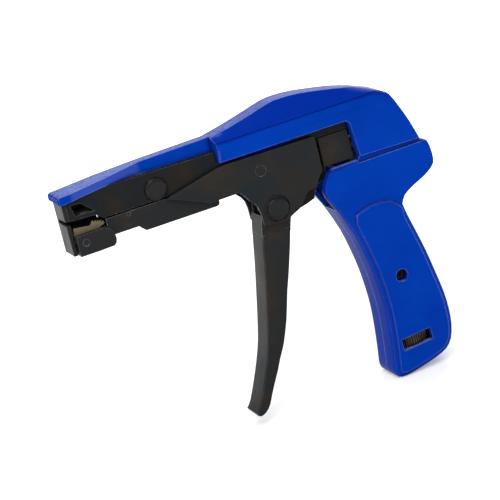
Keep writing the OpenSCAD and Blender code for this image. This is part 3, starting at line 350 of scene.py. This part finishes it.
def makeMetal(name, finish):
    metal = metalSurface
    noise = metal["detail"], metal["rough"]
    mat, tree, shader = newFinish(name)
    where = place(tree)
    warm = spots(tree, where, finish["blotch"], *noise)
    cool = spots(tree, where, finish["blotch"] * metal["coolScale"], *noise, metal["coolStretch"])
    tint = window(tree, warm, *metal["warmSpan"], 0.0, metal["tintShare"])
    colour = blendOf(tree, tint, finish["base"], finish["warm"])
    tint = window(tree, cool, *metal["coolSpan"], 0.0, metal["tintShare"])
    colour = blendOf(tree, tint, colour, finish["cool"])
    if "turned" in finish:
        facing = tree.nodes.new("ShaderNodeNewGeometry")
        normalY = axes(tree, facing.outputs["True Normal"])[1]
        sideways = times(tree, normalY, -1.0)
        colour = blendOf(tree, window(tree, sideways, *metal["turnedSpan"]), colour, finish["turned"])

    edge = openEdgeMask(tree, finish["edgeRadius"], finish.get("turnSpan", metal["turnSpan"]),
                    finish.get("openSpan", metal["openSpan"]))
    # edge colour: worn metal and painted glints, broken into dashes
    edgeDashes = spots(tree, where, finish["blotch"] * metal["dashScale"], metal["dashDetail"], metal["dashRough"])
    rubAndGlint = times(tree, edge, window(tree, edgeDashes, *metal["dashSpan"]), finish["glintAndWear"])
    colour = blendOf(tree, rubAndGlint, colour, finish["edge"])
    # painted shade: near black in hollows and beside walls
    hollow = times(tree, openness(tree, metal["hollowReach"], *metal["hollowSpan"]), metal["hollowShare"])
    colour = blendOf(tree, hollow, colour, metal["hollowShade"])
    tree.links.new(colour, shader.inputs["Base Color"])

    gloss = window(tree, cool, *metal["glossSpan"], finish["gloss"] - metal["glossLess"],
                   finish["gloss"] + metal["glossMore"])
    tree.links.new(gloss, shader.inputs["Roughness"])
    shader.inputs["Metallic"].default_value = finish["metal"]
    shine = window(tree, edge, 0, 1, finish["shineFlat"], finish["shineEdge"])
    tree.links.new(shine, shader.inputs["Specular IOR Level"])
    brushed = spots(tree, where, metal["brushScale"], metal["brushDetail"], metal["rough"],
                    metal["brushStretch"])
    bumped(tree, shader, [
        (brushed, finish["scratch"], metal["brushDepth"]),
        (spots(tree, where, metal["grainScale"]), finish["grain"], metal["grainDepth"]),
    ])
    return mat


# which nodes get which finish; the rest are black_oxide
finishes = {
    "blue_paint": makeBluePaint(),
    "black_oxide": makeMetal("blackOxide", blackOxide),
    "nose_black": makeMetal("noseBlack", noseBlack),
    "rivet_black": makeMetal("rivetBlack", rivetBlack),
    "tan_plating": makeMetal("tanPlating", tanPlating),
    "dark_bronze": makeMetal("darkBronze", darkBronze),
    "plain_steel": makeMetal("plainSteel", plainSteel),
}
finishOf = {
    "blue_paint": ("left_shell", "right_shell"),
    "tan_plating": ("gripper_pawl",),
    "dark_bronze": ("adjusting_nut",),
    "plain_steel": ("anvil", "cutter_blade", "spring_washer", "spring_seat", "tension_rod", "tension_spring",
                    "trigger_bush", "trigger_spring", "pawl_spring", "rocker_pin", "drive_pin", "tail_pin",
                    "cutter_drive_pin", "rocker", "draw_link", "cutter_lever", "drive_arm", "pull_link",
                    "frame_rivets", "cutter_pin", "tail_rivets"),
    "nose_black": ("nose_plate_left", "nose_plate_right", "frame_rail_left", "frame_rail_right",
                   "handle_screw", "lever_tail"),
    "rivet_black": ("nose_rivet", "trigger_pivot"),
}
for name, node in cadNodes.items():
    slot = next((s for s, names in finishOf.items() if name in names), "black_oxide")
    node.data.materials.clear()
    node.data.materials.append(finishes[slot])
print("finishes on:", ", ".join(finishes))


# edges that catch the light
edgeRounding = {
    "smoothUnder": 34.0, "flatUnder": 0.6,       # degrees: edges that shade as one surface, and that are flat
    "weld": 1e-6, "segments": 2,
    "plates": 0.00022, "small": 0.00012,         # width of the rounding
    "plateNodes": ("nose_plate_left", "nose_plate_right", "front_plate", "lever_plate_left",
                   "lever_plate_right", "draw_channel", "pawl_carrier", "window_plate_left",
                   "window_plate_right", "frame_rail_left", "frame_rail_right"),
    "smallNodes": ("handle_screw", "anvil", "cutter_lever", "rocker", "drive_arm"),
}


def tidyShading(angle):
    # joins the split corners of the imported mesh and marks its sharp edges
    group = bpy.data.node_groups.new("tidyShading", "GeometryNodeTree")
    group.interface.new_socket("Geometry", in_out="INPUT", socket_type="NodeSocketGeometry")
    group.interface.new_socket("Geometry", in_out="OUTPUT", socket_type="NodeSocketGeometry")
    start = group.nodes.new("NodeGroupInput")
    end = group.nodes.new("NodeGroupOutput")
    weld = group.nodes.new("GeometryNodeMergeByDistance")
    weld.inputs["Distance"].default_value = edgeRounding["weld"]
    turn = group.nodes.new("GeometryNodeInputMeshEdgeAngle")
    sharper = group.nodes.new("FunctionNodeCompare")
    sharper.data_type = "FLOAT"
    sharper.operation = "GREATER_THAN"
    sharper.inputs[1].default_value = math.radians(angle)
    normals = group.nodes.new("GeometryNodeSetMeshNormal")
    normals.mode = "SHARPNESS"
    link = group.links.new
    link(start.outputs[0], weld.inputs["Geometry"])
    link(weld.outputs["Geometry"], normals.inputs["Mesh"])
    link(turn.outputs["Unsigned Angle"], sharper.inputs[0])
    link(sharper.outputs["Result"], normals.inputs["Edge Sharpness"])
    link(normals.outputs["Mesh"], end.inputs[0])
    return group


def roundEdges(node, width):
    flats = node.modifiers.new("flats", "DECIMATE")
    flats.decimate_type = "DISSOLVE"
    flats.angle_limit = math.radians(edgeRounding["flatUnder"])
    rounding = node.modifiers.new("rounding", "BEVEL")
    rounding.width = width
    rounding.segments = edgeRounding["segments"]
    rounding.limit_method = "ANGLE"
    rounding.angle_limit = math.radians(edgeRounding["smoothUnder"])
    rounding.use_clamp_overlap = True


shading = tidyShading(edgeRounding["smoothUnder"])
for name, node in cadNodes.items():
    node.modifiers.new("corners", "NODES").node_group = shading
    if name in edgeRounding["plateNodes"]:
        roundEdges(node, edgeRounding["plates"])
    elif name in edgeRounding["smallNodes"]:
        roundEdges(node, edgeRounding["small"])
    node.modifiers.new("even", "WEIGHTED_NORMAL").keep_sharp = True
print("edges rounded on:", len(edgeRounding["plateNodes"]) + len(edgeRounding["smallNodes"]), "nodes")


# tension spring: a wound coil between its seat and the washer, its top lowered by the rod's pull travel
tensionCoil = {
    "wire": 0.0013, "turns": 4.5, "deadTurns": 0.75,     # dead turns lie closed at each end
    "sides": 10, "steps": 32,                            # round the wire, and along one turn
    "pullTravel": 0.00125, "seatTravel": 0.00405,        # how far the rod and the seat rise
}


def coilHeight(turn, bottom, top):
    turns, dead = tensionCoil["turns"], tensionCoil["deadTurns"]
    closed = dead * tensionCoil["wire"]                  # height that the dead turns take at one end
    if turn < dead:
        return bottom + closed * turn / dead
    if turn > turns - dead:
        return top - closed * (turns - turn) / dead
    return bottom + closed + (top - bottom - 2 * closed) * (turn - dead) / (turns - 2 * dead)


def makeTensionCoil():
    low, high = (Vector(corner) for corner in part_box("tension_spring"))
    wire, turns, sides = tensionCoil["wire"] / 2, tensionCoil["turns"], tensionCoil["sides"]
    middle = (low + high) / 2
    coilRadius = (high.x - low.x) / 2 - wire
    bottom, top = low.z + wire, high.z - wire - tensionCoil["pullTravel"]
    count = int(turns * tensionCoil["steps"])
    points, faces = [], []
    for k in range(count + 1):
        turn = turns * k / count
        angle = 2 * math.pi * turn
        out = Vector((math.cos(angle), math.sin(angle), 0))
        centre = Vector((middle.x, middle.y, coilHeight(turn, bottom, top))) + out * coilRadius
        for side in range(sides):
            lean = 2 * math.pi * side / sides
            points.append(centre + out * wire * math.cos(lean) + Vector((0, 0, wire * math.sin(lean))))
    for k in range(count):
        for side in range(sides):
            a, b = k * sides + side, k * sides + (side + 1) % sides
            faces.append((a, b, b + sides, a + sides))
    faces.append(tuple(range(sides)))
    faces.append(tuple(reversed(range(count * sides, (count + 1) * sides))))
    mesh = bpy.data.meshes.new("tensionCoil")
    mesh.from_pydata(points, [], faces)
    mesh.shade_smooth()
    coil = bpy.data.objects.new("tensionCoil", mesh)
    bpy.context.scene.collection.objects.link(coil)
    mesh.materials.append(finishes["plain_steel"])
    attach(coil, "tension")
    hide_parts("tension_spring")
    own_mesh(coil)


makeTensionCoil()


# floor, room, lamps and camera
toolMiddle = (0.08, 0.0, -0.045)
studioFloor = {
    "size": 6.0, "tone": 0.86, "fibreTone": 1.02, "fibreScale": 300.0, "fibreSpan": (0.3, 0.7),
    "roughness": 0.9, "shine": 0.1,
    "nearGlow": 0.3, "farGlow": 1.2, "nearReach": 0.16, "farReach": 0.7,     # seen whiter away from the tool
}
studioRoom = {"light": 0.55, "seen": 1.0}
studioLamps = {
    "keyLamp": {"spot": (-0.25, -0.75, 0.95), "size": 0.9, "power": 9.0},
    "fillLamp": {"spot": (-0.95, -0.8, 0.2), "size": 1.2, "power": 3.0},
    "backLamp": {"spot": (0.55, 0.6, 0.85), "size": 0.7, "power": 5.0},
}
studioCamera = {
    "spot": (-0.2369, -0.9383, 0.2549),
    "right": (0.8994, -0.3724, -0.2287), "back": (-0.3042, -0.9093, 0.2840),
    "sensor": 36.0, "lens": 173.5, "clipStart": 0.01,
}


def seenShare(tree):
    # 1 for what the camera, a reflection or glass looks at, 0 for the light that the room gives
    path = tree.nodes.new("ShaderNodeLightPath")
    share = plus(tree, path.outputs["Is Camera Ray"], path.outputs["Is Glossy Ray"])
    return plus(tree, share, path.outputs["Is Transmission Ray"])


def makeFloor():
    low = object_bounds()[0][2]
    half = studioFloor["size"] / 2
    corners = [(-half, -half, low), (half, -half, low), (half, half, low), (-half, half, low)]
    mesh = bpy.data.meshes.new("studioFloor")
    mesh.from_pydata(corners, [], [(0, 1, 2, 3)])
    floor = bpy.data.objects.new("studioFloor", mesh)
    bpy.context.scene.collection.objects.link(floor)
    mat, tree, shader = newFinish("floorPaper")
    tone = studioFloor["tone"]
    light = tone * studioFloor["fibreTone"]
    fibres = window(tree, spots(tree, place(tree), studioFloor["fibreScale"]), *studioFloor["fibreSpan"])
    colour = blendOf(tree, fibres, (tone, tone, tone), (light, light, light))
    tree.links.new(colour, shader.inputs["Base Color"])
    shader.inputs["Roughness"].default_value = studioFloor["roughness"]
    shader.inputs["Specular IOR Level"].default_value = studioFloor["shine"]
    shader.inputs["Emission Color"].default_value = (1, 1, 1, 1)
    away = tree.nodes.new("ShaderNodeVectorMath")
    away.operation = "DISTANCE"
    tree.links.new(place(tree), away.inputs[0])
    away.inputs[1].default_value = (toolMiddle[0], toolMiddle[1], low)
    glow = window(tree, away.outputs["Value"], studioFloor["nearReach"], studioFloor["farReach"],
                  studioFloor["nearGlow"], studioFloor["farGlow"])
    glow = reckon(tree, "MULTIPLY", seenShare(tree), glow, clamp=False)
    tree.links.new(glow, shader.inputs["Emission Strength"])
    mesh.materials.append(mat)


def makeRoom():
    world = bpy.data.worlds.new("room")
    bpy.context.scene.world = world
    world.use_nodes = True
    tree = world.node_tree
    tree.nodes.clear()
    out = tree.nodes.new("ShaderNodeOutputWorld")
    back = tree.nodes.new("ShaderNodeBackground")
    back.inputs["Color"].default_value = (1, 1, 1, 1)
    strength = window(tree, seenShare(tree), 0, 1, studioRoom["light"], studioRoom["seen"])
    tree.links.new(strength, back.inputs["Strength"])
    tree.links.new(back.outputs["Background"], out.inputs["Surface"])


def makeLamp(name, spot, size, power):
    lamp = bpy.data.lights.new(name, "AREA")
    lamp.shape = "DISK"
    lamp.size = size
    lamp.energy = power
    holder = bpy.data.objects.new(name, lamp)
    bpy.context.scene.collection.objects.link(holder)
    holder.location = spot
    holder.rotation_euler = (Vector(toolMiddle) - Vector(spot)).to_track_quat("-Z", "Y").to_euler()


def makeCamera():
    camera = bpy.data.cameras.new("camera")
    camera.sensor_width = studioCamera["sensor"]
    camera.lens = studioCamera["lens"]
    camera.clip_start = studioCamera["clipStart"]
    holder = bpy.data.objects.new("camera", camera)
    bpy.context.scene.collection.objects.link(holder)
    right = Vector(studioCamera["right"]).normalized()
    back = Vector(studioCamera["back"]).normalized()
    up = back.cross(right).normalized()
    right = up.cross(back)
    turn = Matrix((right, up, back)).transposed().to_4x4()
    holder.matrix_world = Matrix.Translation(studioCamera["spot"]) @ turn
    bpy.context.scene.camera = holder


makeFloor()
makeRoom()
for name, lamp in studioLamps.items():
    makeLamp(name, **lamp)
makeCamera()
bpy.context.scene.view_settings.view_transform = "Standard"
print("floor, lamps and camera set")
